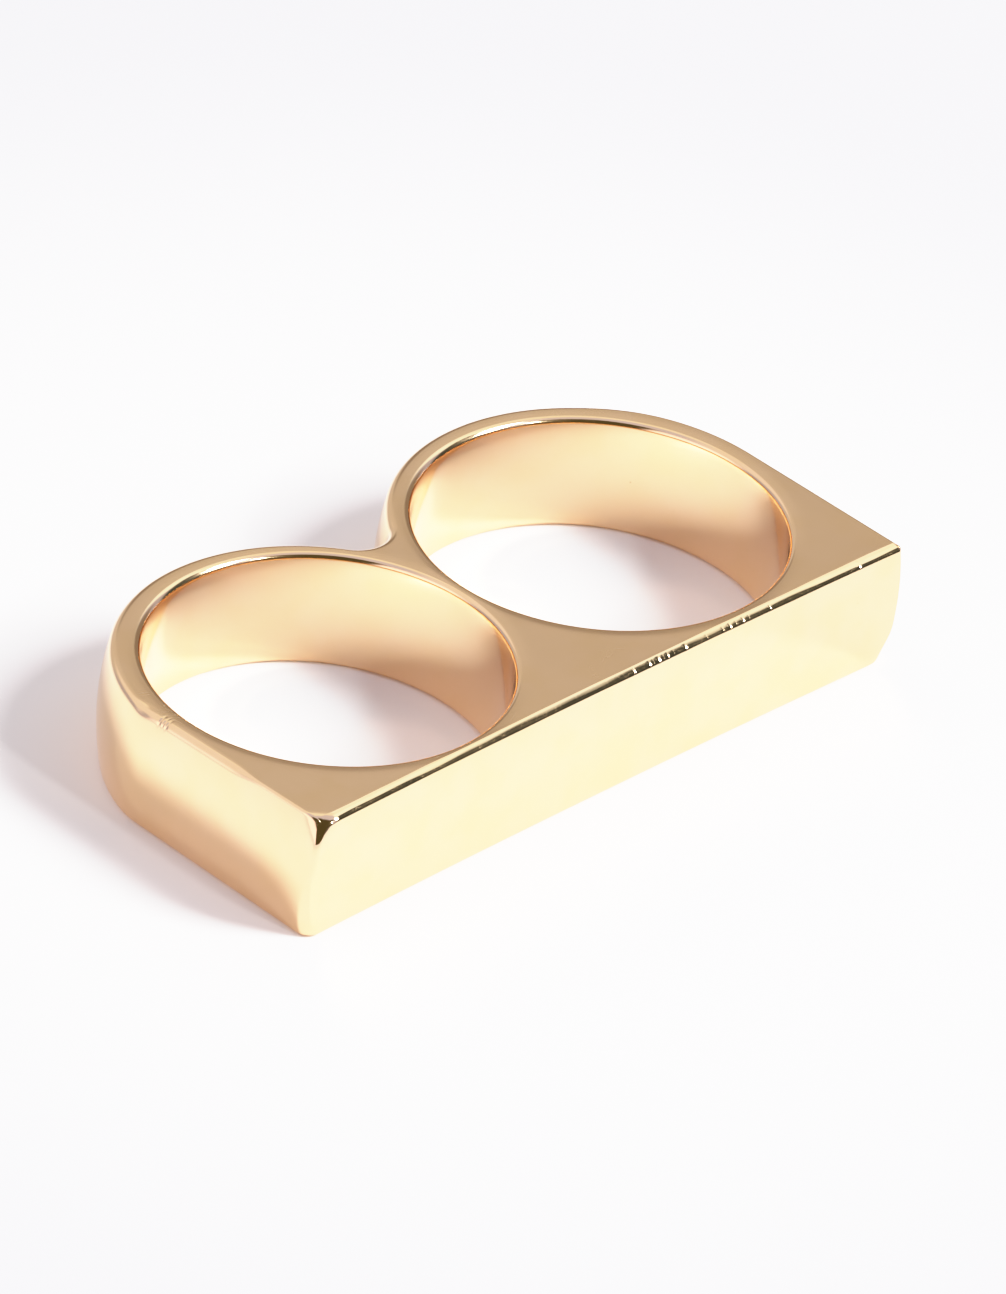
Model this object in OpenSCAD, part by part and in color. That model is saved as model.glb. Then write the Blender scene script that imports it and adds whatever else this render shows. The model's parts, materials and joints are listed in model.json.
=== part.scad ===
// Two-finger bar ring: two finger holes side by side behind one straight bar, cast in one piece.
// It lies on its side: Z is the axis of the fingers, the bar's long face looks towards -Y,
// and the origin is the middle of the footprint, on the surface that the ring rests on.
// All sizes are in millimetres.

/* [Finger holes] */
// Inner diameter of the left finger hole
left_bore_d = 17.3; // [15:0.1:20]
// Inner diameter of the right finger hole
right_bore_d = 17.8; // [15:0.1:20]
// Metal between the two holes where they are closest
web_t = 0.9; // [0.8:0.05:2]
// Rounding of the hole edges, for comfort
bore_edge_r = 0.3; // [0.1:0.05:0.35]

/* [Bands] */
// Metal behind each finger hole, at the edge of the band
band_t = 1.1; // [0.9:0.05:2]
// Height of the band at the back, away from the bar
band_h = 6.1; // [5:0.1:6.6]
// How far the outside of the band stands out at half height
bulge = 0.4; // [0.2:0.05:0.6]
// How far the outside of the left band sits out from its hole
left_shift = 0.4; // [0.3:0.05:0.6]
// Radius in the notch between the two bands
notch_r = 1.9; // [1.2:0.1:3]

/* [Bar] */
// Height of the bar's long face
bar_h = 6.6; // [6.6:0.1:8]
// Metal between the left hole and the long face
left_front_t = 0.95; // [0.8:0.05:3]
// Metal between the right hole and the long face
right_front_t = 1.15; // [0.8:0.05:3]
// How much of the shifted left band is cut flat at the bar's left end
left_flat = 0.3; // [0.05:0.05:0.3]
// Rounding along the top of the long face
top_edge_r = 0.26; // [0.1:0.02:0.4]
// Rounding along the bottom of the long face
bottom_edge_r = 0.3; // [0.1:0.05:0.4]
// Rounding of the upright edge at the left end of the long face
left_corner_r = 0.5; // [0.2:0.1:0.8]
// Rounding of the upright edge at the right end of the long face
right_corner_r = 1; // [0.2:0.1:1.2]

/* [Hidden] */
$fn = 120;

gold = [0.84, 0.70, 0.47];

left_r = left_bore_d / 2;
right_r = right_bore_d / 2;

// The long face lies on y = 0 here, and the thinnest place between the holes on x = 0
left_hole = [-left_r - web_t / 2, left_front_t + left_r];
right_hole = [right_r + web_t / 2, right_front_t + right_r];

// The outside of each band, at the band's edge
left_band = left_hole - [left_shift, 0];
right_band = right_hole;
left_band_r = left_r + band_t;
right_band_r = right_r + band_t;

// The bar's ends, at the edge of the end face
left_end_x = left_band[0] - left_band_r + left_flat;
right_end_x = right_band[0] + right_band_r;

// The outside bulges along an arc whose chord is the bar's height
bulge_z = bar_h / 2;
bulge_r = (bulge_z ^ 2 + bulge ^ 2) / (2 * bulge);

// The footprint, bulge included, and its middle
back_y = max(left_band[1] + left_band_r, right_band[1] + right_band_r) + bulge;
middle = [(left_end_x + right_end_x) / 2, back_y / 2];

// The top falls evenly from the long face to the back of the bands
fall = atan((bar_h - band_h) / back_y);
function top_z(y) = bar_h - y * tan(fall);

// Centre of the notch's arc, which touches both band outsides
function between_circles(a, ra, b, rb) =
    let (
        gap = norm(b - a),
        along = (gap ^ 2 + ra ^ 2 - rb ^ 2) / (2 * gap),
        up = sqrt(ra ^ 2 - along ^ 2),
        u = (b - a) / gap
    )
    a + along * u + up * [-u[1], u[0]];
notch = between_circles(left_band, left_band_r + notch_r, right_band, right_band_r + notch_r);

// Spare length of cutting shapes beyond the metal
over = 2;
// How far a hollow or rounding overlaps what it blends into, so that the surfaces cross cleanly
bite = 0.01;
span = right_end_x - left_end_x;

// Half section of a band's outside: upright chord at radius r, bulging arc outside it
module bulged_half(r) {
    intersection() {
        square([r + bulge, bar_h]);
        translate([r + bulge - bulge_r, bulge_z]) circle(r = bulge_r);
    }
}

// One band's outside as a solid disc with the bulging rim
module disc(centre, r) {
    translate(centre) rotate_extrude() bulged_half(r);
}

// The metal between the bands and behind the web, hollowed to follow both bulges
module notch_fill() {
    difference() {
        linear_extrude(bar_h) polygon([left_band, right_band, notch]);
        translate(notch) rotate_extrude() difference() {
            square([notch_r + bite, bar_h]);
            translate([notch_r + bite - bulge + bulge_r, bulge_z]) circle(r = bulge_r);
        }
    }
}

// The straight part in front of the hole centres, wider than the bar
module bar_blank() {
    translate([left_end_x - over, 0]) cube([-left_end_x + over, left_hole[1], bar_h]);
    cube([right_end_x + over, right_hole[1], bar_h]);
}

// Front view of one bar end: the bulging arc on that side of its centre, everything on the other
module end_limit(centre_x, inward) {
    translate([centre_x, bulge_z]) circle(r = bulge_r);
    translate([inward > 0 ? centre_x : centre_x - 2 * span, 0]) square([2 * span, bar_h]);
}

// Front view of the ring, which bulges at both ends
module end_section() {
    intersection() {
        end_limit(left_end_x - bulge + bulge_r, 1);
        end_limit(right_end_x + bulge - bulge_r, -1);
    }
}

// Side view of the ring: flat below, falling to the back above, rounded along the long face
module side_section() {
    top_c = [top_edge_r, top_z(top_edge_r) - top_edge_r / cos(fall)];
    bottom_c = [bottom_edge_r, bottom_edge_r];
    polygon([
        [bottom_c[0], 0],
        [back_y + over, 0],
        [back_y + over, top_z(back_y + over)],
        top_c + top_edge_r * [sin(fall), cos(fall)],
        [0, top_c[1]],
        [0, bottom_c[1]]
    ]);
    translate(top_c) circle(r = top_edge_r);
    translate(bottom_c) circle(r = bottom_edge_r);
}

// Plan view of the bar's two front corners, with everything behind them left whole
module corner_plan() {
    left_x = left_end_x - bulge;
    right_x = right_end_x + bulge;
    left_c = [left_x + left_corner_r, left_corner_r];
    right_c = [right_x - right_corner_r, right_corner_r];
    polygon([
        [left_c[0], 0],
        [right_c[0], 0],
        [right_x, right_c[1]],
        [right_x, back_y + over],
        [left_x, back_y + over],
        [left_x, left_c[1]]
    ]);
    translate(left_c) circle(r = left_corner_r);
    translate(right_c) circle(r = right_corner_r);
}

// The ring before its finger holes are bored
module blank() {
    intersection() {
        union() {
            disc(left_band, left_band_r);
            disc(right_band, right_band_r);
            notch_fill();
            bar_blank();
        }
        translate([0, back_y + over, 0]) rotate([90, 0, 0])
            linear_extrude(back_y + 2 * over) end_section();
        translate([left_end_x - over, 0, 0]) rotate([90, 0, 90])
            linear_extrude(span + 2 * over) side_section();
        linear_extrude(bar_h) corner_plan();
    }
}

// What the edge of a hole of radius r loses to its rounding, with the face it opens on at z = 0
module edge_cutter(r) {
    edge = bore_edge_r;
    rotate_extrude() translate([r + edge - bite, bite - edge]) difference() {
        translate([-2 * edge, 0]) square([2 * edge, 2 * edge]);
        circle(r = edge);
    }
}

// One finger hole: a true round bore, rounded where it meets the top and the bottom
module finger_hole(centre, r) {
    translate(centre) {
        translate([0, 0, -over]) cylinder(r = r, h = bar_h + 2 * over);
        mirror([0, 0, 1]) edge_cutter(r);
        translate([0, 0, top_z(centre[1])]) rotate([-fall, 0, 0]) edge_cutter(r);
    }
}

module ring() {
    color(gold) translate(-middle) difference() {
        blank();
        finger_hole(left_hole, left_r);
        finger_hole(right_hole, right_r);
    }
}

ring();
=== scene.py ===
"""A two-finger bar ring in polished gold, lying on its side on a pale studio table."""

import json
import math

import bpy
import numpy as np
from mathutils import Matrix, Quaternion, Vector
from mathutils.geometry import delaunay_2d_cdt


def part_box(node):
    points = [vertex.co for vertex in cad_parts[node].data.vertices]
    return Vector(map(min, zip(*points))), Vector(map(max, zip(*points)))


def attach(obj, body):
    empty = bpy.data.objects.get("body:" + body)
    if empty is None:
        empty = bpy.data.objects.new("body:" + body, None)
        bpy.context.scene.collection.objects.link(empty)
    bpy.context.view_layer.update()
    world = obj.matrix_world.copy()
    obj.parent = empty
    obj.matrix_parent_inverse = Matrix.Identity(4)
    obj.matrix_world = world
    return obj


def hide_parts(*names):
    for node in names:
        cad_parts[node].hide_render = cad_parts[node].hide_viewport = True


# Sizes are in millimetres, as on a jeweller's drawing, and MM turns them into metres.
MM = 0.001

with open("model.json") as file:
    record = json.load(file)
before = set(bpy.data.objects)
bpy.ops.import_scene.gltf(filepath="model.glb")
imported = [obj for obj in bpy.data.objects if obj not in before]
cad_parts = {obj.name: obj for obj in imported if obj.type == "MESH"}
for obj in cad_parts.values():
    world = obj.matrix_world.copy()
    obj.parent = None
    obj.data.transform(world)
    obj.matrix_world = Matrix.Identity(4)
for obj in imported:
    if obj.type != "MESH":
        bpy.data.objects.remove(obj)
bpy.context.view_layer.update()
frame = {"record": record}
mounts = {mount["name"]: mount for mount in frame["record"]["mounts"]}
ring_low, ring_high = (np.array(corner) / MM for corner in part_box("ring"))


# The ring's sizes, from the frame and from the few that the frame doesn't give

def bore(name):
    """Centre in plan and radius of a finger hole."""
    mount = mounts[name]
    return np.array(mount["pos_m"][:2]) / MM, mount["dims"]["r_mm"]


left_hole, left_hole_r = bore("left_finger_bore")
right_hole, right_hole_r = bore("right_finger_bore")

bulge_depth = 0.4
bar_height = 6.6
back_height = 6.1
left_shift = 0.4
notch_r = 1.9
blend_r = 5.0

front_y = ring_low[1]
back_y = ring_high[1]
left_end_x = ring_low[0] + bulge_depth
right_end_x = ring_high[0] - bulge_depth
right_band_r = right_end_x - right_hole[0]
band_thickness = right_band_r - right_hole_r
left_band = left_hole - (left_shift, 0)
left_band_r = left_hole_r + band_thickness
middle_height = bar_height / 2
bulge_r = (middle_height**2 + bulge_depth**2) / (2 * bulge_depth)

# Roundings of the bar and the bands
side_top_r = 0.18
band_top_r = 0.45
front_bottom_r = 0.3
side_bottom_r = 0.25
right_bottom_r = 0.7
rim_r = 0.3

# The upright right corner is rounded most at its foot
right_corner_bottom_r = 0.9
right_corner_top_r = 0.15
right_corner_foot = 1.9

# The upright left corner is rounded most at its foot
left_corner_bottom_r = 0.75
left_corner_top_r = 0.3
left_corner_foot = 4.6
sharpest_corner_r = 0.1

# Its tip was polished to a small flat, which begins this far from the sharp corner along its diagonal
tip_flat_start = 0.81
tip_flat_depth = 0.31

# The edge between the top and the long face, from the top down. Angles are in degrees from level
front_edge = (
    {"name": "shoulder", "from": 0, "to": 13, "length": 0.05, "rows": 2},
    {"name": "upper_side", "from": 13, "to": 29, "length": 0.32, "rows": 4},
    {"name": "turn", "from": 29, "to": 46, "length": 0.09, "rows": 3},
    {"name": "lower_side", "from": 46, "to": 66, "length": 0.14, "rows": 3},
    {"name": "foot", "from": 66, "to": 90, "length": 0.05, "rows": 2},
)
edge_waves = ({"length": 9.3, "depth": 0.10}, {"length": 3.7, "depth": 0.06})

# Nicks along the front edge: place along the bar, half width, depth, and reach from the edge
edge_nicks = (
    {"x": 1.46, "width": 0.06, "depth": 0.010, "reach": 0.30},
    {"x": 2.45, "width": 0.13, "depth": 0.015, "reach": 0.18},
    {"x": 2.72, "width": 0.08, "depth": 0.007, "reach": 0.17},
    {"x": 3.05, "width": 0.17, "depth": 0.019, "reach": 0.19},
    {"x": 3.38, "width": 0.08, "depth": 0.007, "reach": 0.17},
    {"x": 3.66, "width": 0.12, "depth": 0.012, "reach": 0.18},
    {"x": 4.05, "width": 0.08, "depth": 0.006, "reach": 0.17},
    {"x": 4.83, "width": 0.16, "depth": 0.016, "reach": 0.19},
    {"x": 6.25, "width": 0.07, "depth": 0.006, "reach": 0.18},
    {"x": 7.32, "width": 0.10, "depth": 0.007, "reach": 0.18},
    {"x": 7.78, "width": 0.14, "depth": 0.013, "reach": 0.19},
    {"x": 8.20, "width": 0.08, "depth": 0.006, "reach": 0.18},
    {"x": 8.66, "width": 0.12, "depth": 0.011, "reach": 0.19},
    {"x": 9.05, "width": 0.09, "depth": 0.006, "reach": 0.18},
    {"x": 10.45, "width": 0.11, "depth": 0.010, "reach": 0.19},
    {"x": 16.40, "width": 0.14, "depth": 0.014, "reach": 0.22},
)
# One long nick and three short ones on the top edge of the left end, near the band
side_nicks = (
    {"y": 1.60, "width": 0.70, "depth": 0.050, "reach": 0.24},
    {"y": 0.42, "width": 0.09, "depth": 0.034, "reach": 0.26},
    {"y": 0.18, "width": 0.07, "depth": 0.024, "reach": 0.30},
    {"y": -0.02, "width": 0.10, "depth": 0.030, "reach": 0.26},
)
# A nick ends at twice its reach, and keeps its full depth over this share of that way
nick_full_reach = 0.4
# Stations lie this much closer together at the nicks, and this far beside them
nick_crowding = 3.5
nick_margin = 0.15
crowding_samples = 4000

# The long face is hollow along the bar, and the top falls a little towards each hole
front_hollow = 0.22
front_hollow_start = 0.1
front_hollow_reach = 0.8
hole_shoulder_depth = 0.02
hole_shoulder_reach = 0.6
hole_shoulder_foot = 1.0

# Each hole opens out a little towards its top, most on the side that this angle in plan gives
flare_depth = 0.14
flare_reach = 0.9
flare_side = math.radians(150)
flare_least = 0.25

# The front edge is only on the wall that lies this far in front of the holes' centres. It comes in
# as the wall turns to face forwards
front_edge_depth = 5
front_facing = (0.3, 0.75)
# Places in plan between which the roundings of the right end and of the bands come in or go out
behind_right_corner_y = (front_y + 0.5, front_y + 2)
before_middle = (1, 6)
right_side_x = (17, 19)
band_y = (-6.5, -4.5)
right_end_x_span = (15, 18)

# How finely each stretch of the plan and of the section is divided
front_stations = 560
corner_stations = 18
end_stations = 60
left_end_stations = 130
band_stations = 120
notch_stations = 36
blend_stations = 16
hole_stations = 280
bottom_rows = 8
top_rows = sum(part["rows"] for part in front_edge)
wall_rows = 22
wall_crowding = 1.6
rounding_passes = 5

# How far the walls are carried on over the flats, and in which steps
flat_steps = (0.12, 0.3, 0.5, 0.75, 1.0)
flat_reach = 0.5
flat_share = 0.42
corner_share = 0.5
least_bend = 0.001

# How the rest of the flats is filled
cap_spacing = 0.3
tip_spacing = 0.06
tip_reach = 1.3
tip_margin = 0.5
rim_clearance = 0.45
merge_distance = 1e-7


def direction(angle):
    """Unit vectors in plan at these angles, in radians."""
    return np.stack([np.cos(angle), np.sin(angle)], axis=-1)


def turn(a, b):
    """Angle of the line from a to b."""
    return math.atan2(b[1] - a[1], b[0] - a[0])


def smooth(value, start, end):
    """0 at start, 1 at end, with an even rise and fall between."""
    share = np.clip((value - start) / (end - start), 0, 1)
    return share * share * (3 - 2 * share)


def crossing(a, reach_a, b, reach_b):
    """The point behind the line from a to b that lies at these distances from them."""
    gap = math.dist(a, b)
    along = (gap**2 + reach_a**2 - reach_b**2) / (2 * gap)
    up = math.sqrt(reach_a**2 - along**2)
    unit = (np.array(b) - a) / gap
    return a + along * unit + up * np.array([-unit[1], unit[0]])


notch = crossing(left_band, left_band_r + notch_r, right_hole, right_band_r + notch_r)
blend_x = left_end_x + blend_r
blend_reach = left_band_r - blend_r
blend_rise = math.sqrt(blend_reach**2 - (left_band[0] - blend_x) ** 2)
blend = np.array([blend_x, left_band[1] + blend_rise])


def top_height(y):
    """Height of the top face, which falls evenly from the bar to the back of the bands."""
    return bar_height - (bar_height - back_height) * (y - front_y) / (back_y - front_y)


def bulge(height):
    """How far the outside stands out at this height."""
    return bulge_depth - bulge_r + np.sqrt(bulge_r**2 - (height - middle_height) ** 2)


# Plan of the ring's outside

def even_shares(count):
    """Evenly spaced stations, from 0 towards 1."""
    return np.arange(count) / count


def nicked_shares(start, end, nicks, axis, count):
    """Stations from 0 towards 1 on a straight edge, closer together at its nicks."""
    places = np.linspace(start, end, crowding_samples)
    crowd = np.ones(len(places))
    for nick in nicks:
        near = np.abs(places - nick[axis]) < nick["width"] + nick_margin
        crowd[near] = nick_crowding
    total = np.cumsum(crowd)
    shares = (places - places[0]) / (places[-1] - places[0])
    return np.interp(even_shares(count), total / total[-1], shares)


def straight(start, end, facing, shares):
    """Points at these shares of the way from start to end, and the way that they face."""
    share = shares[:, None]
    points = np.array(start) * (1 - share) + np.array(end) * share
    return points, np.tile(facing, (len(shares), 1))


def arc(centre, radius, start, end, count, hollow=False):
    """Points round a centre from the start angle towards the end angle, without the end itself."""
    way = direction(start + (end - start) * np.arange(count) / count)
    return centre + radius * way, -way if hollow else way


def outline(swell=0, left_r=0, right_r=0, front_inset=0):
    """The plan once round from the front left corner, and the way that each point faces."""
    left_x = left_end_x - swell
    right_x = right_end_x + swell
    face_y = front_y + front_inset
    left_c = np.array([left_x + left_r, face_y + left_r])
    right_c = np.array([right_x - right_r, face_y + right_r])
    right_turn = turn(right_hole, notch)
    left_turn = turn(left_band, notch)
    blend_turn = turn(left_band, blend)
    blend_turn += 2 * math.pi if blend_turn < 0 else 0
    half = math.pi / 2
    front = nicked_shares(left_end_x, right_end_x, edge_nicks, "x", front_stations)
    left_end = nicked_shares(blend[1], front_y, side_nicks, "y", left_end_stations)
    stretches = [
        straight((left_c[0], face_y), (right_c[0], face_y), (0, -1), front),
        arc(right_c, right_r, -half, 0, corner_stations),
        straight((right_x, right_c[1]), (right_x, right_hole[1]), (1, 0), even_shares(end_stations)),
        arc(right_hole, right_band_r + swell, 0, right_turn, band_stations),
        arc(notch, notch_r - swell, right_turn - math.pi, left_turn - math.pi, notch_stations, True),
        arc(left_band, left_band_r + swell, left_turn, blend_turn, band_stations),
        arc(blend, blend_r + swell, blend_turn, math.pi, blend_stations),
        straight((left_x, blend[1]), (left_x, left_c[1]), (-1, 0), left_end),
        arc(left_c, left_r, math.pi, 1.5 * math.pi, corner_stations),
    ]
    points, facing = (np.concatenate(part) for part in zip(*stretches))
    return points, facing


def hole_outline(centre, radius):
    """A finger hole's plan, taken clockwise so that its wall faces inwards."""
    return arc(centre, radius, 2 * math.pi, 0, hole_stations, hollow=True)


# Section through a wall, from the flat below it to the flat above it

def rounding(level, radius, share, upward):
    """Where a rounding next to the flat at this level leaves the wall, as its centre and angle."""
    centre_height = level - upward * radius
    height = centre_height
    for _ in range(rounding_passes):
        slope = -share * (height - middle_height) / np.sqrt(
            bulge_r**2 - (height - middle_height) ** 2
        )
        lean = -slope / np.sqrt(1 + slope**2)
        height = centre_height + radius * lean
    out = share * bulge(height) - radius / np.sqrt(1 + slope**2)
    return out, centre_height, height, np.arcsin(lean)


def front_rounding(wave):
    """The front edge's insets and drops at each station, from the long face up to the top face."""
    turns, lengths = [], []
    gains = {"lower_side": 1 + wave, "turn": 1 + wave, "upper_side": 1 - wave}
    for part in reversed(front_edge):
        steps = (np.arange(part["rows"]) + 0.5) / part["rows"]
        turns += list(np.radians(part["to"] + (part["from"] - part["to"]) * steps))
        gain = gains.get(part["name"], np.ones(len(wave)))
        lengths += [gain * part["length"] / part["rows"]] * part["rows"]
    turns, lengths = np.array(turns), np.array(lengths).T
    inset = np.cumsum(lengths * np.cos(turns), axis=1)
    rise = np.cumsum(lengths * np.sin(turns), axis=1)
    start = np.zeros((len(inset), 1))
    inset = np.hstack([start, inset])
    rise = np.hstack([start, rise])
    return inset, rise[:, -1:] - rise


def section(share, top, top_r, bottom_r, edge=None):
    """Heights and insets of a wall's rows at each station. Share is how much of the bulge it has.

    An edge gives the insets and drops of the top rows, in place of a plain rounding.
    """
    low_out, low_c, low_end, low_turn = rounding(0 * top, bottom_r, share, -1)
    top_out, top_c, _, top_turn = rounding(top, top_r, share, 1)
    low_steps = np.linspace(0, 1, bottom_rows + 1)
    top_steps = np.linspace(0, 1, top_rows + 1)
    rows = 1 - (1 - np.linspace(0, 1, wall_rows + 1)[1:-1]) ** wall_crowding
    low_angle = -math.pi / 2 + (low_turn[:, None] + math.pi / 2) * low_steps
    top_angle = top_turn[:, None] + (math.pi / 2 - top_turn[:, None]) * top_steps
    low_z = low_c[:, None] + bottom_r[:, None] * np.sin(low_angle)
    top_z = top_c[:, None] + top_r[:, None] * np.sin(top_angle)
    low_in = share[:, None] * bulge(low_z) - low_out[:, None] - bottom_r[:, None] * np.cos(low_angle)
    top_in = share[:, None] * bulge(top_z) - top_out[:, None] - top_r[:, None] * np.cos(top_angle)
    if edge is not None:
        inset, drop = edge
        top_z = top[:, None] - drop
        top_in = inset
    wall_z = low_end[:, None] * (1 - rows) + top_z[:, :1] * rows
    heights = np.hstack([low_z, wall_z, top_z])
    insets = np.hstack([low_in, 0 * wall_z, top_in])
    return heights, insets


def settle(points, heights, station_top):
    """Puts the rows under the sloping top face."""
    height = heights * top_height(points[..., 1]) / station_top[:, None]
    return np.concatenate([points, height[..., None]], axis=-1)


def right_corner_r(heights):
    """Radius of the upright right corner at each height."""
    foot = right_corner_bottom_r - right_corner_top_r
    return right_corner_top_r + foot * (1 - smooth(heights, 0, right_corner_foot))


def left_corner_r(heights):
    """Radius of the upright left corner at each height."""
    foot = left_corner_bottom_r - left_corner_top_r
    return left_corner_top_r + foot * (1 - smooth(heights, 0, left_corner_foot))


def nick_edges(points):
    """Presses the nicks into the top edges of the long face and of the left end."""
    side_top = top_height(side_nicks[0]["y"])
    edges = (
        (edge_nicks, "x", 0, (0, front_y, bar_height), (0, 1, -1)),
        (side_nicks, "y", 1, (left_end_x, 0, side_top), (1, 0, -1)),
    )
    for nicks, axis, number, edge, inward in edges:
        across = [n for n in range(3) if n != number]
        inward = np.array(inward) / math.sqrt(2)
        for nick in nicks:
            along = (points[..., number] - nick[axis]) / nick["width"]
            away = np.linalg.norm((points - edge)[..., across], axis=-1) / (2 * nick["reach"])
            depth = nick["depth"] * np.exp(-2 * along**2) * (1 - smooth(away, nick_full_reach, 1))
            points = points + depth[..., None] * inward
    return points


def hollow_front(points):
    """Draws the middle of the long face in a little, as polishing leaves it."""
    share = 1 - (points[:, 0] / right_end_x) ** 2
    near = 1 - smooth(points[:, 1], front_y + front_hollow_start, front_y + front_hollow_reach)
    moved = points.copy()
    moved[:, 1] += front_hollow * share * near
    return moved


def ease_holes(points):
    """Lets the top fall softly towards each hole."""
    height = smooth(points[:, 2], top_height(points[:, 1]) - hole_shoulder_foot, top_height(points[:, 1]))
    moved = points.copy()
    for centre, radius in ((left_hole, left_hole_r), (right_hole, right_hole_r)):
        gap = np.linalg.norm(points[:, :2] - centre, axis=1) - radius - rim_r
        share = np.clip(1 - np.maximum(gap, 0) / hole_shoulder_reach, 0, 1)
        moved[:, 2] -= hole_shoulder_depth * share**2 * height
    return moved


def flare_holes(points):
    """Opens each hole out towards its top."""
    below_top = (top_height(points[:, 1]) - points[:, 2]) / flare_reach
    share = np.clip(1 - below_top, 0, 1) ** 2
    moved = points.copy()
    for centre, radius in ((left_hole, left_hole_r), (right_hole, right_hole_r)):
        spoke = points[:, :2] - centre
        length = np.linalg.norm(spoke, axis=1)
        near = 1 - smooth(length - radius - rim_r, 0, flat_reach)
        towards = 0.5 + 0.5 * np.cos(np.arctan2(spoke[:, 1], spoke[:, 0]) - flare_side)
        depth = flare_depth * (flare_least + (1 - flare_least) * towards**2)
        moved[:, :2] += spoke / length[:, None] * (depth * share * near)[:, None]
    return moved


def polish_tip(points):
    """Flattens the tip where the top, the long face and the left end meet."""
    diagonal = np.array([-1, -1, 1]) / math.sqrt(3)
    corner = np.array([left_end_x, front_y, bar_height])
    past = (points - corner) @ diagonal + tip_flat_start
    kept = np.where(past > 0, tip_flat_depth * (1 - np.exp(-past / tip_flat_depth)), past)
    return points + (kept - past)[..., None] * diagonal


def outside_wall():
    """The outside of the bar and the bands, as stations by rows of points."""
    plain, facing = outline()
    per_bulge = outline(swell=1)[0] - plain
    per_left = outline(left_r=1)[0] - plain
    per_right = outline(right_r=1)[0] - plain
    per_inset = outline(front_inset=1)[0] - plain
    at_front = plain[:, 1] < left_hole[1] - front_edge_depth
    front = (at_front * smooth(-facing[:, 1], *front_facing))[:, None]
    wave = sum(w["depth"] * np.sin(2 * math.pi * plain[:, 0] / w["length"]) for w in edge_waves)
    behind_corner = smooth(plain[:, 1], *behind_right_corner_y) * smooth(-plain[:, 1], *before_middle)
    right_side = smooth(plain[:, 0], *right_side_x) * behind_corner
    band = smooth(plain[:, 1], *band_y) * (1 - smooth(plain[:, 0], *right_end_x_span))
    one = np.ones(len(plain))
    top_r = side_top_r + (band_top_r - side_top_r) * band
    bottom_r = side_bottom_r + (right_bottom_r - side_bottom_r) * right_side
    station_top = top_height(plain[:, 1])
    side_heights, side_insets = section(one, station_top, top_r, bottom_r)
    front_heights, front_insets = section(
        0 * one, station_top, top_r, front_bottom_r * one, front_rounding(wave)
    )
    heights = side_heights + front * (front_heights - side_heights)
    spent = np.minimum(side_insets, front_insets)
    left_r = np.maximum(left_corner_r(heights) - spent, sharpest_corner_r)
    right_r = np.maximum(right_corner_r(heights) - spent, sharpest_corner_r)
    points = (
        plain[:, None]
        + per_bulge[:, None] * (bulge(heights) - side_insets)[..., None]
        + per_inset[:, None] * front_insets[..., None]
        + per_left[:, None] * left_r[..., None]
        + per_right[:, None] * right_r[..., None]
    )
    return settle(points, heights, station_top)


def hole_wall(centre, radius):
    """The wall of a finger hole, rounded at both rims."""
    plain, facing = hole_outline(centre, radius)
    none = np.zeros(len(plain))
    station_top = top_height(plain[:, 1])
    heights, insets = section(none, station_top, none + rim_r, none + rim_r)
    points = plain[:, None] - facing[:, None] * insets[..., None]
    return settle(points, heights, station_top)


def corner_room(loop):
    """How far each point of a loop may move inwards before the loop folds over at a sharp corner."""
    ahead = np.roll(loop, -1, axis=0) - loop
    ways = np.arctan2(ahead[:, 1], ahead[:, 0])
    bend = (ways - np.roll(ways, 1) + math.pi) % (2 * math.pi) - math.pi
    length = np.linalg.norm(ahead, axis=1)
    radius = (length + np.roll(length, 1)) / 2 / np.maximum(bend, least_bend)
    gaps = np.linalg.norm(loop[:, None] - loop, axis=2)
    return corner_share * (radius + gaps).min(1)


def with_flats(walls, facings):
    """Carries each wall on over the flat above and below it, as far as the next wall leaves room."""
    longer = []
    for row in (0, -1):
        loops = [wall[:, row, :2] for wall in walls]
        for number, (loop, facing) in enumerate(zip(loops, facings)):
            others = np.concatenate([other for n, other in enumerate(loops) if n != number])
            room = np.array([np.linalg.norm(others - point, axis=1).min() for point in loop])
            reach = np.minimum(np.minimum(flat_reach, flat_share * room), corner_room(loop))
            steps = reach[:, None, None] * np.array(flat_steps)[:, None]
            flat = loop[:, None] - facing[:, None] * steps
            height = top_height(flat[..., 1]) if row else 0 * flat[..., 1]
            longer.append(np.concatenate([flat, height[..., None]], axis=-1))
    low, high = longer[: len(walls)], longer[len(walls) :]
    return [np.concatenate([a[:, ::-1], wall, b], axis=1) for a, wall, b in zip(low, walls, high)]


def wall_faces(stations, rows, first):
    """Quads between neighbouring stations and rows."""
    here = np.arange(stations)
    there = (here + 1) % stations
    row = np.arange(rows - 1)
    a = first + here[:, None] * rows + row
    b = first + there[:, None] * rows + row
    return np.stack([a, b, b + 1, a + 1], axis=-1).reshape(-1, 4).tolist()


def staggered(low, high, spacing):
    """Points all over a rectangle, as corners of even triangles."""
    rows = np.arange(low[1], high[1], spacing * math.sqrt(0.75))
    places = np.arange(low[0], high[0], spacing)
    return np.array([(x + (row % 2) * spacing / 2, y) for row, y in enumerate(rows) for x in places])


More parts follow.
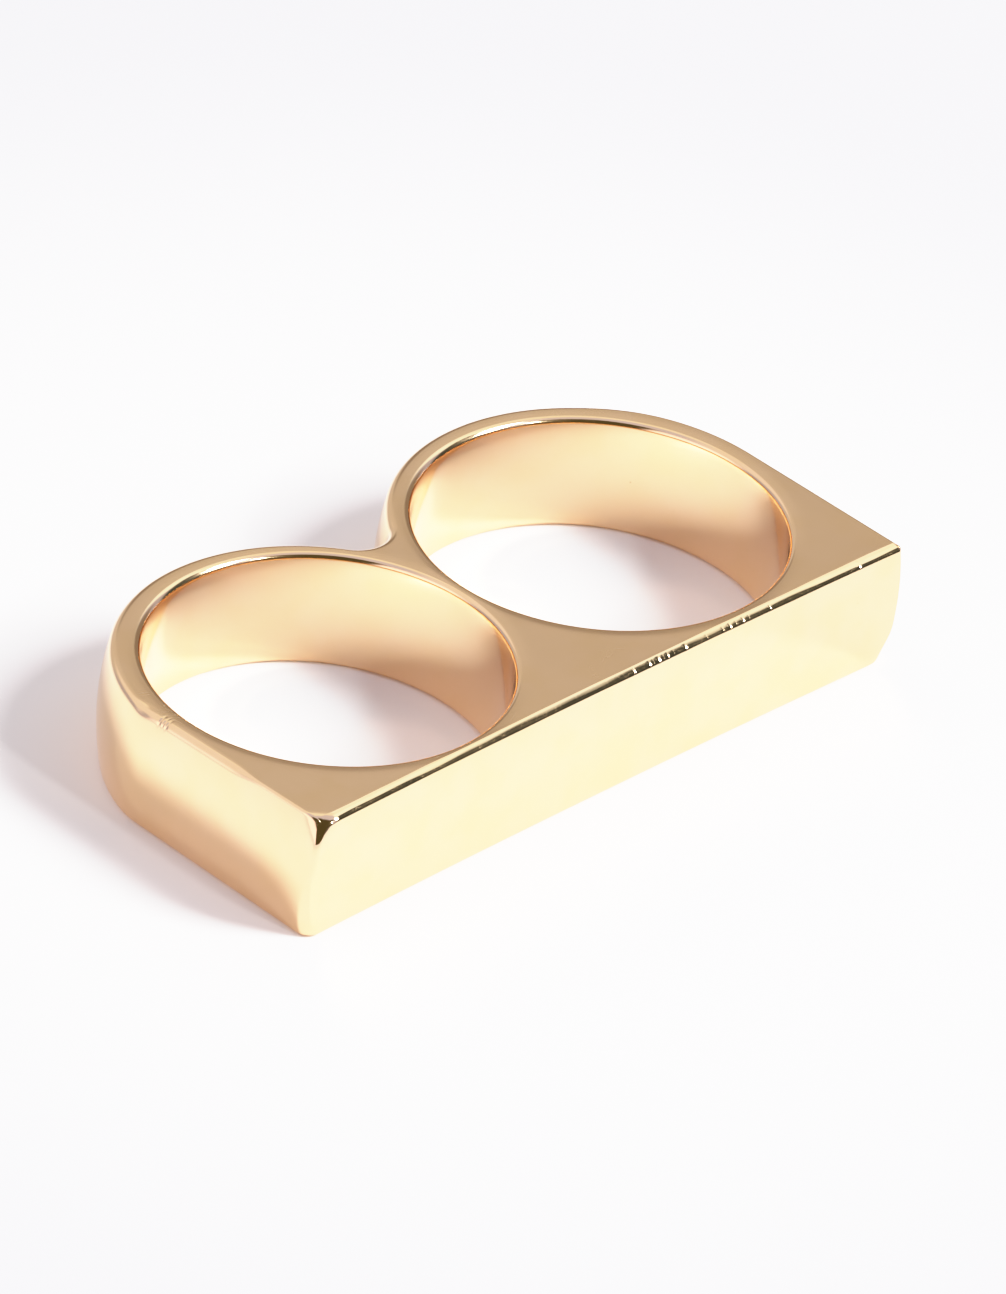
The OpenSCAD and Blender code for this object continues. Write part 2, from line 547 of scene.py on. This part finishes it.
def spread_points(rim):
    """Points all over the plan, closer together at the polished tip, but none close to the rim."""
    tip = np.array([left_end_x, front_y])
    wide = staggered(rim.min(0), rim.max(0), cap_spacing)
    fine = staggered(tip - tip_margin, tip + tip_reach, tip_spacing)
    wide = wide[np.linalg.norm(wide - tip, axis=1) > tip_reach + cap_spacing / 2]
    fine = fine[np.linalg.norm(fine - tip, axis=1) < tip_reach]
    grid = np.concatenate([wide, fine])
    spacing = np.repeat([cap_spacing, tip_spacing], [len(wide), len(fine)])
    nearest = np.min([((grid - point) ** 2).sum(1) for point in rim], axis=0)
    return grid[nearest > (rim_clearance * spacing) ** 2]


def loop_reach(loop, point):
    """How far a loop round a hole lies from its middle, in the direction of each point."""
    middle = loop.mean(0)
    spokes = loop - middle
    towards = point - middle
    angles = np.arctan2(spokes[:, 1], spokes[:, 0])
    lengths = np.linalg.norm(spokes, axis=1)
    return np.interp(np.arctan2(towards[:, 1], towards[:, 0]), angles, lengths, period=2 * math.pi)


def cap(loops):
    """Fills the plan between the outside loop and the two hole loops.

    Gives the points inside it, and triangles whose numbers run through the loops and then these points.
    """
    rim = np.concatenate(loops)
    grid = spread_points(rim)
    edges = []
    start = 0
    for loop in loops:
        count = len(loop)
        edges += [(start + i, start + (i + 1) % count) for i in range(count)]
        start += count
    plan = [Vector(point) for point in np.concatenate([rim, grid])]
    outside = list(range(len(loops[0])))
    found, _, triangles, came_from, _, _ = delaunay_2d_cdt(plan, edges, [outside], 1, merge_distance)
    middles = np.array(found)[np.array(triangles)].mean(1)
    solid = np.ones(len(middles), bool)
    for loop in loops[1:]:
        solid &= np.linalg.norm(middles - loop.mean(0), axis=1) > loop_reach(loop, middles)
    kept = [[came_from[i][0] for i in triangle] for triangle, keep in zip(triangles, solid) if keep]
    used = sorted({i for triangle in kept for i in triangle if i >= len(rim)})
    number = {i: len(rim) + n for n, i in enumerate(used)}
    kept = [[number.get(i, i) for i in triangle] for triangle in kept]
    return grid[np.array(used) - len(rim)], kept


def ring_shell():
    """Points and faces of the closed ring: three walls, joined by the flats above and below."""
    walls = [
        outside_wall(),
        hole_wall(left_hole, left_hole_r),
        hole_wall(right_hole, right_hole_r),
    ]
    facings = [
        outline()[1],
        hole_outline(left_hole, left_hole_r)[1],
        hole_outline(right_hole, right_hole_r)[1],
    ]
    walls = with_flats(walls, facings)
    rows = walls[0].shape[1]
    points, faces, starts = [], [], []
    total = 0
    for wall in walls:
        points.append(wall.reshape(-1, 3))
        faces += wall_faces(len(wall), rows, total)
        starts.append(total)
        total += len(wall) * rows
    for row, upward in ((0, False), (rows - 1, True)):
        inside, triangles = cap([wall[:, row, :2] for wall in walls])
        height = top_height(inside[:, 1]) if upward else 0 * inside[:, 1]
        points.append(np.column_stack([inside, height]))
        numbers = []
        for wall, start in zip(walls, starts):
            numbers += [start + station * rows + row for station in range(len(wall))]
        numbers += range(total, total + len(inside))
        total += len(inside)
        order = 1 if upward else -1
        faces += [[numbers[i] for i in triangle[::order]] for triangle in triangles]
    points = flare_holes(ease_holes(np.concatenate(points)))
    return hollow_front(polish_tip(nick_edges(points))), faces


# Node trees

def put(tree, kind, settings=(), **values):
    """Adds a node, with its settings and its inputs.

    An input goes by its name, or as i0, i1 and so on by its place. A socket given as a value is linked.
    """
    made = tree.nodes.new(kind)
    for name, value in dict(settings).items():
        setattr(made, name, value)
    for name, value in values.items():
        socket = made.inputs[int(name[1:]) if name[1:].isdigit() else name.replace("_", " ")]
        if isinstance(value, bpy.types.NodeSocket):
            tree.links.new(value, socket)
        else:
            socket.default_value = value
    return made


def calculate(tree, operation, a, b=0.0, clamp=False):
    """The result of a Math node."""
    settings = {"operation": operation, "use_clamp": clamp}
    return put(tree, "ShaderNodeMath", settings, i0=a, i1=b).outputs[0]


def combine(tree, operation, a, b, output="Vector"):
    """The result of a Vector Math node."""
    return put(tree, "ShaderNodeVectorMath", {"operation": operation}, i0=a, i1=b).outputs[output]


def fade(tree, value, start, end):
    """0 at start and 1 at end, with an even rise and fall between."""
    even = {"interpolation_type": "SMOOTHSTEP"}
    made = put(tree, "ShaderNodeMapRange", even, Value=value, From_Min=start, From_Max=end)
    return made.outputs["Result"]


def blend_colour(tree, share, below, above):
    """One colour laid over another. The two colours of a Mix node are its inputs 6 and 7."""
    made = put(tree, "ShaderNodeMix", {"data_type": "RGBA"}, i0=share)
    for socket, colour in ((made.inputs[6], below), (made.inputs[7], above)):
        if isinstance(colour, bpy.types.NodeSocket):
            tree.links.new(colour, socket)
        else:
            socket.default_value = (*colour, 1)
    return made.outputs[2]


def new_group(name, inputs, outputs):
    """An empty shader node group. Inputs and outputs are given as name, kind and value."""
    group = bpy.data.node_groups.new(name, "ShaderNodeTree")
    for in_out, sockets in (("INPUT", inputs), ("OUTPUT", outputs)):
        for label, kind, *value in sockets:
            socket = group.interface.new_socket(label, in_out=in_out, socket_type="NodeSocket" + kind)
            if value:
                socket.default_value = value[0]
    return group, group.nodes.new("NodeGroupInput").outputs, group.nodes.new("NodeGroupOutput").inputs


# Metal: one gold, polished by hand on the walls and left satin on top. Lengths are in millimetres

gold_tint = (0.97, 0.675, 0.405)
deep_gold_tint = (0.94, 0.64, 0.34)
pit_tint = (0.42, 0.24, 0.11)
polished_roughness = 0.06
satin_roughness = 0.20
grain_size = 0.07
grain_detail = 2.0
grain_depth = 0.0010
least_grain = 0.15
bloom_size = 2.6
bloom_detail = 3.0
bloom_edges = (0.35, 0.68)
bloom_colour_share = 0.5
bloom_roughness = 0.03
hairline_turns = (0.35, 1.25, 2.6)
hairline_spacing = 0.55
hairline_stretch = 16.0
hairline_thinness = 0.012
hairline_gap_scale = 0.6
hairline_gaps = (0.5, 0.6)
hairline_roughness = 0.05
hairline_relief = 0.18
pit_spacing = 1.1
pit_radius = 0.055
pit_share = 0.10
pit_floor = 0.4
pit_stain = 0.8
pit_relief = 4.0


def grain_group():
    """Fine even grain, as a buffing wheel leaves it."""
    group, given, result = new_group(
        "fine_grain", [("Vector", "Vector"), ("Size", "Float", 0.1)], [("Height", "Float")]
    )
    scale = calculate(group, "DIVIDE", 1 / MM, given["Size"])
    noise = put(group, "ShaderNodeTexNoise", Vector=given["Vector"], Scale=scale, Detail=grain_detail)
    group.links.new(noise.outputs["Fac"], result["Height"])
    return group


def bloom_group():
    """Large soft clouds, where the polish is a little deeper or duller."""
    group, given, result = new_group(
        "polish_bloom", [("Vector", "Vector"), ("Size", "Float", 3.0)], [("Mask", "Float")]
    )
    scale = calculate(group, "DIVIDE", 1 / MM, given["Size"])
    noise = put(group, "ShaderNodeTexNoise", Vector=given["Vector"], Scale=scale, Detail=bloom_detail)
    group.links.new(fade(group, noise.outputs["Fac"], *bloom_edges), result["Mask"])
    return group


def hairline_group():
    """Thin polishing lines that run one way, with gaps in them."""
    sizes = [("Turn", "Float", 0.0), ("Spacing", "Float", 0.5), ("Stretch", "Float", 12.0)]
    group, given, result = new_group("hairlines", [("Vector", "Vector"), *sizes], [("Mask", "Float")])
    about_upright = {"rotation_type": "Z_AXIS"}
    turned = put(
        group, "ShaderNodeVectorRotate", about_upright, Vector=given["Vector"], Angle=given["Turn"]
    ).outputs[0]
    across = calculate(group, "DIVIDE", 1 / MM, given["Spacing"])
    along = calculate(group, "DIVIDE", across, given["Stretch"])
    squeeze = put(group, "ShaderNodeCombineXYZ", X=along, Y=across, Z=across).outputs[0]
    place = combine(group, "MULTIPLY", turned, squeeze)
    lines = put(group, "ShaderNodeTexNoise", Vector=place, Scale=1.0, Detail=1.0).outputs["Fac"]
    gaps = put(
        group, "ShaderNodeTexNoise", Vector=place, Scale=hairline_gap_scale, Detail=0.0
    ).outputs["Fac"]
    off = calculate(group, "ABSOLUTE", calculate(group, "SUBTRACT", lines, 0.5))
    line = fade(group, off, hairline_thinness, 0.0)
    kept = fade(group, gaps, *hairline_gaps)
    group.links.new(calculate(group, "MULTIPLY", line, kept), result["Mask"])
    return group


def pit_group():
    """Small round pits, one in some of the cells that fill space."""
    sizes = [("Spacing", "Float", 1.0), ("Radius", "Float", 0.05), ("Share", "Float", 0.1)]
    group, given, result = new_group("casting_pits", [("Vector", "Vector"), *sizes], [("Mask", "Float")])
    scale = calculate(group, "DIVIDE", 1 / MM, given["Spacing"])
    cells = put(group, "ShaderNodeTexVoronoi", Vector=given["Vector"], Scale=scale)
    distance = calculate(group, "MULTIPLY", cells.outputs["Distance"], given["Spacing"])
    share_of_radius = calculate(group, "DIVIDE", distance, given["Radius"])
    chance = put(group, "ShaderNodeSeparateColor", Color=cells.outputs["Color"]).outputs["Red"]
    chosen = calculate(group, "LESS_THAN", chance, given["Share"])
    round_pit = fade(group, share_of_radius, 1.0, pit_floor)
    group.links.new(calculate(group, "MULTIPLY", chosen, round_pit), result["Mask"])
    return group


grain = grain_group()
bloom = bloom_group()
hairlines = hairline_group()
pits = pit_group()


def use(tree, group, output, **values):
    """The output of a node group placed in a material with its own values."""
    return put(tree, "ShaderNodeGroup", {"node_tree": group}, **values).outputs[output]


def gold_material():
    """The one gold of the ring. Its satin attribute says where it is less polished."""
    material = bpy.data.materials.new("polished_gold")
    material.use_nodes = True
    tree = material.node_tree
    tree.nodes.clear()
    place = put(tree, "ShaderNodeTexCoord").outputs["Object"]
    satin = put(tree, "ShaderNodeAttribute", {"attribute_name": "satin"}).outputs["Fac"]
    clouds = use(tree, bloom, "Mask", Vector=place, Size=bloom_size)
    fine = use(tree, grain, "Height", Vector=place, Size=grain_size)
    pitting = {"Spacing": pit_spacing, "Radius": pit_radius, "Share": pit_share}
    dots = use(tree, pits, "Mask", Vector=place, **pitting)
    lining = {"Spacing": hairline_spacing, "Stretch": hairline_stretch}
    lines = 0.0
    for turned in hairline_turns:
        line = use(tree, hairlines, "Mask", Vector=place, Turn=turned, **lining)
        lines = calculate(tree, "MAXIMUM", line, lines)
    deepened = calculate(tree, "MULTIPLY", clouds, bloom_colour_share)
    stained = calculate(tree, "MULTIPLY", dots, pit_stain)
    colour = blend_colour(tree, deepened, gold_tint, deep_gold_tint)
    colour = blend_colour(tree, stained, colour, pit_tint)
    duller = put(
        tree, "ShaderNodeMapRange", Value=satin, To_Min=polished_roughness, To_Max=satin_roughness
    ).outputs["Result"]
    clouded = calculate(tree, "MULTIPLY", clouds, bloom_roughness)
    scuffed = calculate(tree, "MULTIPLY", lines, hairline_roughness)
    roughness = calculate(tree, "ADD", calculate(tree, "ADD", duller, clouded), scuffed)
    grained = calculate(tree, "MULTIPLY", fine, calculate(tree, "ADD", satin, least_grain))
    scored = calculate(tree, "MULTIPLY", lines, hairline_relief)
    pitted = calculate(tree, "MULTIPLY", dots, pit_relief)
    relief = calculate(tree, "SUBTRACT", calculate(tree, "SUBTRACT", grained, scored), pitted)
    bump = put(tree, "ShaderNodeBump", Strength=1.0, Distance=grain_depth * MM, Height=relief)
    surface = put(
        tree, "ShaderNodeBsdfPrincipled", Base_Color=colour, Roughness=roughness, Normal=bump.outputs[0]
    )
    surface.inputs["Metallic"].default_value = 1.0
    put(tree, "ShaderNodeOutputMaterial", Surface=surface.outputs[0])
    return material


polished_gold = gold_material()


# The ring's own mesh, and the slow waves that polishing by hand leaves in it

polish_wave_length = 5.0
polish_depth = 0.018
polish_foot = 0.8
polish_seed = 4
polish_upright_squeeze = 1.8
hole_satin = 0.35
outside_satin = 0.55
front_satin = 0.05
# How far a surface has to face up to be satin, and forwards to be polished, and where the front edge ends
satin_facing = (0.97, 0.998)
polished_facing = (0.2, 0.5)
front_edge_end_y = (front_y + 0.3, front_y + 0.6)


def satin_share(points, normals):
    """How satin each point of the surface is, from 0 on the mirror of the long face to 1 on top."""
    top = smooth(normals[:, 2], *satin_facing)
    front = smooth(-normals[:, 1], *polished_facing) * (1 - smooth(points[:, 1], *front_edge_end_y))
    in_hole = np.zeros(len(points), bool)
    for centre, radius in ((left_hole, left_hole_r), (right_hole, right_hole_r)):
        in_hole |= np.linalg.norm(points[:, :2] - centre, axis=1) < radius + rim_r
    wall = np.where(in_hole, hole_satin, outside_satin)
    wall = wall + (front_satin - wall) * front
    return wall + (1 - wall) * top


def hand_polish_tree():
    """Geometry Nodes tree that wears a surface down in slow waves, but not at its foot."""
    tree = bpy.data.node_groups.new("hand_polish", "GeometryNodeTree")
    sizes = ("Wave Length", "Depth", "Foot", "Upright Squeeze", "Seed")
    inputs = [("Geometry", "Geometry"), *((size, "Float") for size in sizes), ("Metal", "Material")]
    for label, kind in inputs:
        tree.interface.new_socket(label, in_out="INPUT", socket_type="NodeSocket" + kind)
    tree.interface.new_socket("Geometry", in_out="OUTPUT", socket_type="NodeSocketGeometry")
    given = tree.nodes.new("NodeGroupInput").outputs
    place = put(tree, "GeometryNodeInputPosition").outputs[0]
    facing = put(tree, "GeometryNodeInputNormal").outputs[0]
    stretch = put(tree, "ShaderNodeCombineXYZ", X=1.0, Y=1.0, Z=given["Upright Squeeze"]).outputs[0]
    noise = put(
        tree,
        "ShaderNodeTexNoise",
        {"noise_dimensions": "4D"},
        Vector=combine(tree, "MULTIPLY", place, stretch),
        W=given["Seed"],
        Scale=calculate(tree, "DIVIDE", 1.0, given["Wave Length"]),
        Detail=1.0,
    )
    height = put(tree, "ShaderNodeSeparateXYZ", i0=place).outputs["Z"]
    above_foot = calculate(tree, "DIVIDE", height, given["Foot"], clamp=True)
    depth = calculate(tree, "MULTIPLY", above_foot, given["Depth"])
    wear = calculate(tree, "MULTIPLY", noise.outputs[0], depth)
    inward = put(tree, "ShaderNodeVectorMath", {"operation": "SCALE"}, i0=facing)
    tree.links.new(calculate(tree, "MULTIPLY", wear, -1.0), inward.inputs["Scale"])
    worn = put(tree, "GeometryNodeSetPosition", Geometry=given["Geometry"], Offset=inward.outputs[0])
    plain = put(tree, "GeometryNodeRealizeInstances", Geometry=worn.outputs[0])
    dressed = put(tree, "GeometryNodeSetMaterial", Geometry=plain.outputs[0], Material=given["Metal"])
    put(tree, "NodeGroupOutput", Geometry=dressed.outputs[0])
    return tree


def polish_by_hand(piece):
    """Runs the hand_polish tree on a piece and keeps the result as its plain mesh."""
    tree = hand_polish_tree()
    modifier = piece.modifiers.new("hand_polish", "NODES")
    modifier.node_group = tree
    values = {
        "Wave Length": polish_wave_length * MM,
        "Depth": polish_depth * MM,
        "Foot": polish_foot * MM,
        "Upright Squeeze": polish_upright_squeeze,
        "Seed": float(polish_seed),
        "Metal": polished_gold,
    }
    for socket in tree.interface.items_tree:
        if socket.in_out == "INPUT" and socket.name in values:
            modifier[socket.identifier] = values[socket.name]
    worn = piece.evaluated_get(bpy.context.evaluated_depsgraph_get())
    mesh = bpy.data.meshes.new_from_object(worn)
    piece.modifiers.remove(modifier)
    piece.data = mesh


def make_ring():
    """The ring as one closed mesh, worn by polishing."""
    points, faces = ring_shell()
    mesh = bpy.data.meshes.new("bar_ring")
    mesh.from_pydata((points * MM).tolist(), [], faces)
    mesh.validate()
    mesh.shade_smooth()
    normals = np.zeros(len(points) * 3)
    mesh.vertex_normals.foreach_get("vector", normals)
    satin = mesh.attributes.new("satin", "FLOAT", "POINT")
    satin.data.foreach_set("value", satin_share(points, normals.reshape(-1, 3)))
    ring = bpy.data.objects.new("bar_ring", mesh)
    bpy.context.scene.collection.objects.link(ring)
    polish_by_hand(ring)
    return ring


ring = make_ring()
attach(ring, "root")
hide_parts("ring")


# Camera, at the photo's angle

view_aim = Vector((1.457, -1.783, 3.231)) * MM
view_azimuth = math.radians(-49.582)
view_elevation = math.radians(34.055)
view_lean = math.radians(7.91)
view_distance = 704.4 * MM
view_lens = 420.65
view_sensor = 36
view_nearest = 10
view_farthest = 20000


def add_camera():
    """The camera, which aims at the ring and leans a little."""
    level = math.cos(view_elevation)
    back = Vector(
        (math.sin(view_azimuth) * level, -math.cos(view_azimuth) * level, math.sin(view_elevation))
    )
    data = bpy.data.cameras.new("view")
    data.lens = view_lens
    data.sensor_width = view_sensor
    data.clip_start = view_nearest * MM
    data.clip_end = view_farthest * MM
    camera = bpy.data.objects.new("view", data)
    bpy.context.scene.collection.objects.link(camera)
    camera.rotation_mode = "QUATERNION"
    camera.location = view_aim + back * view_distance
    upright = (-back).to_track_quat("-Z", "Y")
    camera.rotation_quaternion = upright @ Quaternion((0, 0, 1), view_lean)
    bpy.context.scene.camera = camera


add_camera()


# Studio: what stands round the ring, seen only in its reflections, and the table it lies on

studio_low = (0.48, 0.47, 0.63)
studio_high = (0.70, 0.69, 0.92)
studio_blend = (0.2, 0.95)
pale_backdrop = (0.93, 0.925, 0.96)
card_black = (0.045, 0.055, 0.05)
# Each card: its middle (azimuth from +X towards +Y, and elevation), half width and half height,
# and softness, all in degrees. A later card lies over an earlier one
studio_cards = (
    {"name": "back_tan", "at": (60, 30), "half": (35, 30), "soft": 12, "colour": (0.66, 0.612, 0.59)},
    {"name": "left_reflector", "at": (172, 16), "half": (30, 22), "soft": 14, "colour": (1.8, 1.5, 1.6)},
    {"name": "camera_dark", "at": (236, 26), "half": (34, 36), "soft": 5, "colour": (0.08, 0.07, 0.03)},
    {"name": "right_cream", "at": (355, 50), "half": (24, 14), "soft": 5, "colour": (1.35, 1.45, 1.45)},
    {"name": "back_left_cream", "at": (112, 44), "half": (28, 20), "soft": 8, "colour": (1.0, 0.92, 0.92)},
    {"name": "overhead_cream", "at": (40, 68), "half": (22, 14), "soft": 4, "colour": (1.1, 1.05, 0.95)},
    {"name": "low_dark_strip", "at": (304, 4), "half": (34, 11), "soft": 3, "colour": card_black},
    {"name": "beside_key_dark", "at": (322, 22), "half": (16, 27), "soft": 4, "colour": card_black},
    {"name": "right_brown", "at": (26, 9), "half": (33, 21), "soft": 6, "colour": (0.26, 0.22, 0.19)},
)
# Each lamp: its direction, half width and half height, and lean, all in degrees, and its power in watts
lamps = (
    {"name": "softbox", "at": (-58, 42), "half": (7, 13), "lean": 15, "power": 23.0},
    {"name": "front_lamp", "at": (-88, 36), "half": (2, 2), "lean": 0, "power": 3.0},
)
lamp_distance = 1200
least_forward = 0.001
lamp_colour = (1.0, 0.99, 0.98)
table_half = 2000
table_drop = 0.02
# The table's colour near the ring and far from it, and where it changes: a painted pool of light, greyer
# and cooler away from the ring in place of the lamps' falloff
table_near = (0.84, 0.84, 0.84)
table_far_painted_shade = (0.64, 0.64, 0.68)
painted_falloff_start = 22
painted_falloff_end = 60
table_roughness = 0.9
table_gloss = 0.1
# Light that comes in, and how light it shows
film_curve = ((0, 0), (0.7, 0.7), (0.9, 0.85), (1.13, 0.925), (1.65, 0.985), (2.4, 1))


def card_mask_group():
    """How much of a studio card lies in a direction, from 0 beside it to 1 on it."""
    ways = [(name, "Vector") for name in ("Direction", "Middle", "Across", "Up")]
    sizes = [("Half Width", "Float", 0.5), ("Half Height", "Float", 0.5), ("Softness", "Float", 0.1)]
    group, given, result = new_group("studio_card", ways + sizes, [("Mask", "Float")])
    forward = combine(group, "DOT_PRODUCT", given["Direction"], given["Middle"], "Value")
    ahead = calculate(group, "MAXIMUM", forward, least_forward)
    mask = calculate(group, "GREATER_THAN", forward, least_forward)
    for axis, half in (("Across", "Half Width"), ("Up", "Half Height")):
        side = combine(group, "DOT_PRODUCT", given["Direction"], given[axis], "Value")
        place = calculate(group, "ABSOLUTE", calculate(group, "DIVIDE", side, ahead))
        inside = calculate(group, "SUBTRACT", given[half], place)
        outside = calculate(group, "MULTIPLY", given["Softness"], -1.0)
        mask = calculate(group, "MULTIPLY", mask, fade(group, inside, outside, given["Softness"]))
    group.links.new(mask, result["Mask"])
    return group


def sky_direction(azimuth, elevation):
    """Unit vector at an azimuth from +X towards +Y and an elevation, in degrees."""
    turned = math.radians(azimuth)
    raised = math.radians(elevation)
    level = math.cos(raised)
    return Vector((level * math.cos(turned), level * math.sin(turned), math.sin(raised)))


def light_studio():
    """The cards round the ring as the world's light. The camera itself sees a pale backdrop."""
    world = bpy.data.worlds.new("studio")
    world.use_nodes = True
    bpy.context.scene.world = world
    tree = world.node_tree
    tree.nodes.clear()
    towards = put(tree, "ShaderNodeTexCoord").outputs["Generated"]
    height = put(tree, "ShaderNodeSeparateXYZ", i0=towards).outputs["Z"]
    colour = blend_colour(tree, fade(tree, height, *studio_blend), studio_low, studio_high)
    group = card_mask_group()
    for card in studio_cards:
        middle = sky_direction(*card["at"])
        across = Vector((0, 0, 1)).cross(middle).normalized()
        mask = put(
            tree,
            "ShaderNodeGroup",
            {"node_tree": group, "label": card["name"]},
            Direction=towards,
            Middle=middle,
            Across=across,
            Up=middle.cross(across),
            Half_Width=math.tan(math.radians(card["half"][0])),
            Half_Height=math.tan(math.radians(card["half"][1])),
            Softness=math.radians(card["soft"]),
        ).outputs["Mask"]
        colour = blend_colour(tree, mask, colour, card["colour"])
    seen = put(tree, "ShaderNodeBackground", Color=(*pale_backdrop, 1))
    lit = put(tree, "ShaderNodeBackground", Color=colour)
    camera_ray = put(tree, "ShaderNodeLightPath").outputs["Is Camera Ray"]
    both = put(tree, "ShaderNodeMixShader", i0=camera_ray, i1=lit.outputs[0], i2=seen.outputs[0])
    put(tree, "ShaderNodeOutputWorld", Surface=both.outputs[0])


def add_lamps():
    """The lamps as rectangular lights that face the ring."""
    for lamp in lamps:
        data = bpy.data.lights.new(lamp["name"], "AREA")
        data.shape = "RECTANGLE"
        width, height = (2 * lamp_distance * MM * math.tan(math.radians(half)) for half in lamp["half"])
        data.size = width
        data.size_y = height
        data.energy = lamp["power"]
        data.color = lamp_colour
        light = bpy.data.objects.new(lamp["name"], data)
        towards = sky_direction(*lamp["at"])
        light.location = towards * (lamp_distance * MM)
        light.rotation_mode = "QUATERNION"
        upright = towards.to_track_quat("Z", "Y")
        light.rotation_quaternion = upright @ Quaternion((0, 0, 1), math.radians(-lamp["lean"]))
        light.visible_camera = False
        bpy.context.scene.collection.objects.link(light)
    # The light that the polished walls throw on the table stays sharp
    bpy.context.scene.cycles.blur_glossy = 0.0


def table_material():
    """Matt white table with a painted pool of light: its colour turns greyer away from the ring, in place
    of the lamps' falloff.
    """
    material = bpy.data.materials.new("table_white")
    material.use_nodes = True
    tree = material.node_tree
    tree.nodes.clear()
    place = put(tree, "ShaderNodeTexCoord").outputs["Object"]
    reach = put(tree, "ShaderNodeVectorMath", {"operation": "LENGTH"}, i0=place).outputs["Value"]
    # Painted falloff of light: the table's colour turns greyer from the ring outwards
    share = fade(tree, reach, painted_falloff_start * MM, painted_falloff_end * MM)
    colour = blend_colour(tree, share, table_near, table_far_painted_shade)
    surface = put(tree, "ShaderNodeBsdfPrincipled", Base_Color=colour)
    surface.inputs["Roughness"].default_value = table_roughness
    surface.inputs["Specular IOR Level"].default_value = table_gloss
    put(tree, "ShaderNodeOutputMaterial", Surface=surface.outputs[0])
    return material


def add_table():
    """A wide table, a hair below the ring's foot."""
    mesh = bpy.data.meshes.new("table")
    half = table_half * MM
    level = -table_drop * MM
    corners = [(-half, -half, level), (half, -half, level), (half, half, level), (-half, half, level)]
    mesh.from_pydata(corners, [], [(0, 1, 2, 3)])
    mesh.materials.append(table_material())
    table = bpy.data.objects.new("table", mesh)
    bpy.context.scene.collection.objects.link(table)


def set_film():
    """Plain tones with a soft shoulder, so that the white table and the bright metal keep their tint."""
    view = bpy.context.scene.view_settings
    view.view_transform = "Standard"
    view.use_curve_mapping = True
    curve = view.curve_mapping
    curve.clip_max_x = film_curve[-1][0]
    curve.extend = "HORIZONTAL"
    for tone in list(curve.curves)[:3]:
        tone.points[-1].location = film_curve[-1]
        for light, shown in film_curve[1:-1]:
            tone.points.new(light, shown)
    curve.update()


light_studio()
add_lamps()
add_table()
set_film()
